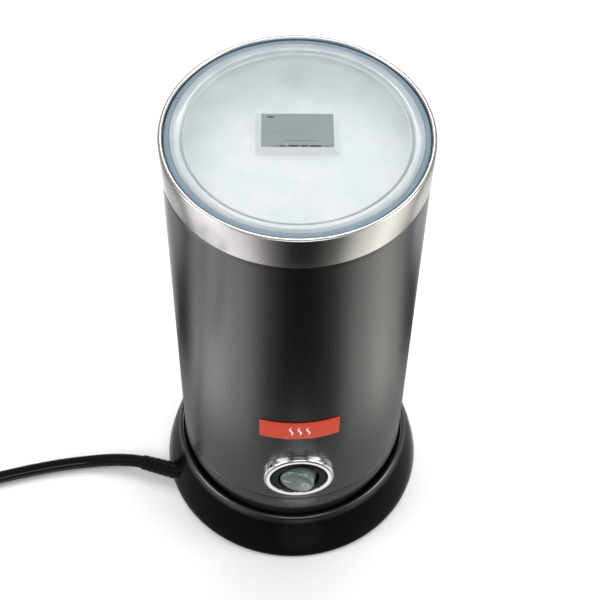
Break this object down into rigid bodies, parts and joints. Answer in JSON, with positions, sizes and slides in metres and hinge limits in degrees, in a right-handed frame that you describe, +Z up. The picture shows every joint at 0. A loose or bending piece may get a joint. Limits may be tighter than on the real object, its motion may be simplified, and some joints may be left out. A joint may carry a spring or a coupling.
{
  "type": "milk frother",
  "caption": "Tall round electric milk frother jug with a clear lid and a magnetically driven whisk, standing on a flared cordless power base with a mains cord.",
  "frame": {"origin": "centre of the base on the surface that it stands on", "axes": "+Z up along the jug's axis, the front with the switch and badge faces -Y, the cord leaves towards -X"},
  "size_m": [0.2835, 0.1561, 0.2174],
  "materials": {
    "shell_black": "satin black",
    "base_plastic": "satin-gloss black",
    "inner_black": "matte black",
    "inner_grey": "matte grey",
    "rubber": "matte rubber",
    "fasteners": "zinc plated",
    "steel": "brushed",
    "bright_chrome": "polished",
    "contact_brass": "polished",
    "copper": "wound copper over laminations",
    "magnet": "ground",
    "heater_metal": "as cast",
    "insulator": "matte off-white",
    "board_green": "lacquered board",
    "board_blue": "moulded parts",
    "lead_jacket": "insulated wire",
    "cord_black": "satin cord jacket",
    "gasket": "silicone",
    "seal_blue": "translucent silicone",
    "clear_plastic": "clear moulded plastic",
    "rocker_green": "translucent grey-green",
    "badge_red": "gloss enamel"
  },
  "bodies": {
    "base": {"base_cover": "base_plastic", "base_plate": "inner_black", "rubber_feet": "rubber", "base_screws": "fasteners", "socket_housing": "insulator", "socket_contacts": "contact_brass", "cord_clamp": "insulator", "clamp_screws": "fasteners", "base_leads": "lead_jacket", "strain_relief": "cord_black", "cord_lead": "cord_black", "cord_coil": "cord_black", "cord_tail": "cord_black", "plug_body": "cord_black", "plug_blades": "contact_brass"},
    "jug": {"outer_shell": "shell_black", "steel_band": "steel", "rim_gasket": "gasket", "inner_cup": "steel", "lower_ring": "base_plastic", "jug_bottom": "inner_black", "bottom_screws": "fasteners", "connector_half": "insulator", "connector_contacts": "contact_brass", "heater_plate": "heater_metal", "heater_element": "heater_metal", "thermostat": "insulator", "thermal_fuse": "fasteners", "chassis": "inner_grey", "motor_can": "fasteners", "motor_cap": "insulator", "motor_bushes": "contact_brass", "field_magnets": "magnet", "motor_screws": "fasteners", "circuit_board": "board_green", "board_parts": "board_blue", "board_screws": "fasteners", "wiring": "lead_jacket", "switch_ring": "bright_chrome", "switch_dish": "inner_black", "switch_body": "inner_black", "switch_terminals": "contact_brass", "rocker_pin": "fasteners", "front_badge": "badge_red"},
    "rocker": {"rocker": "rocker_green"},
    "rotor": {"motor_shaft": "fasteners", "armature": "copper", "magnet_carrier": "insulator", "drive_magnets": "magnet"},
    "whisk": {"whisk_hub": "inner_black", "whisk_coil": "steel", "whisk_magnets": "magnet"},
    "lid": {"lid": "clear_plastic", "lid_seal": "seal_blue"}
  },
  "joints": [
    {"name": "jug_lift", "type": "slide", "parent": "base", "child": "jug", "axis": [0, 0, 1], "range_m": [0, 0.04]},
    {"name": "lid_lift", "type": "slide", "parent": "jug", "child": "lid", "axis": [0, 0, 1], "range_m": [0, 0.045]},
    {"name": "rocker_press", "type": "hinge", "parent": "jug", "child": "rocker", "pos_m": [0, -0.0488, 0.0605], "axis": [0, 0, 1], "range_deg": [0, 32]},
    {"name": "motor_spin", "type": "hinge", "parent": "jug", "child": "rotor", "pos_m": [0, 0, 0.07], "axis": [0, 0, 1], "continuous": true},
    {"name": "whisk_spin", "type": "hinge", "parent": "jug", "child": "whisk", "pos_m": [0, 0, 0.105], "axis": [0, 0, 1], "continuous": true}
  ],
  "couplings": [
    {"joint": "whisk_spin", "follows": "motor_spin", "ratio": 1}
  ]
}
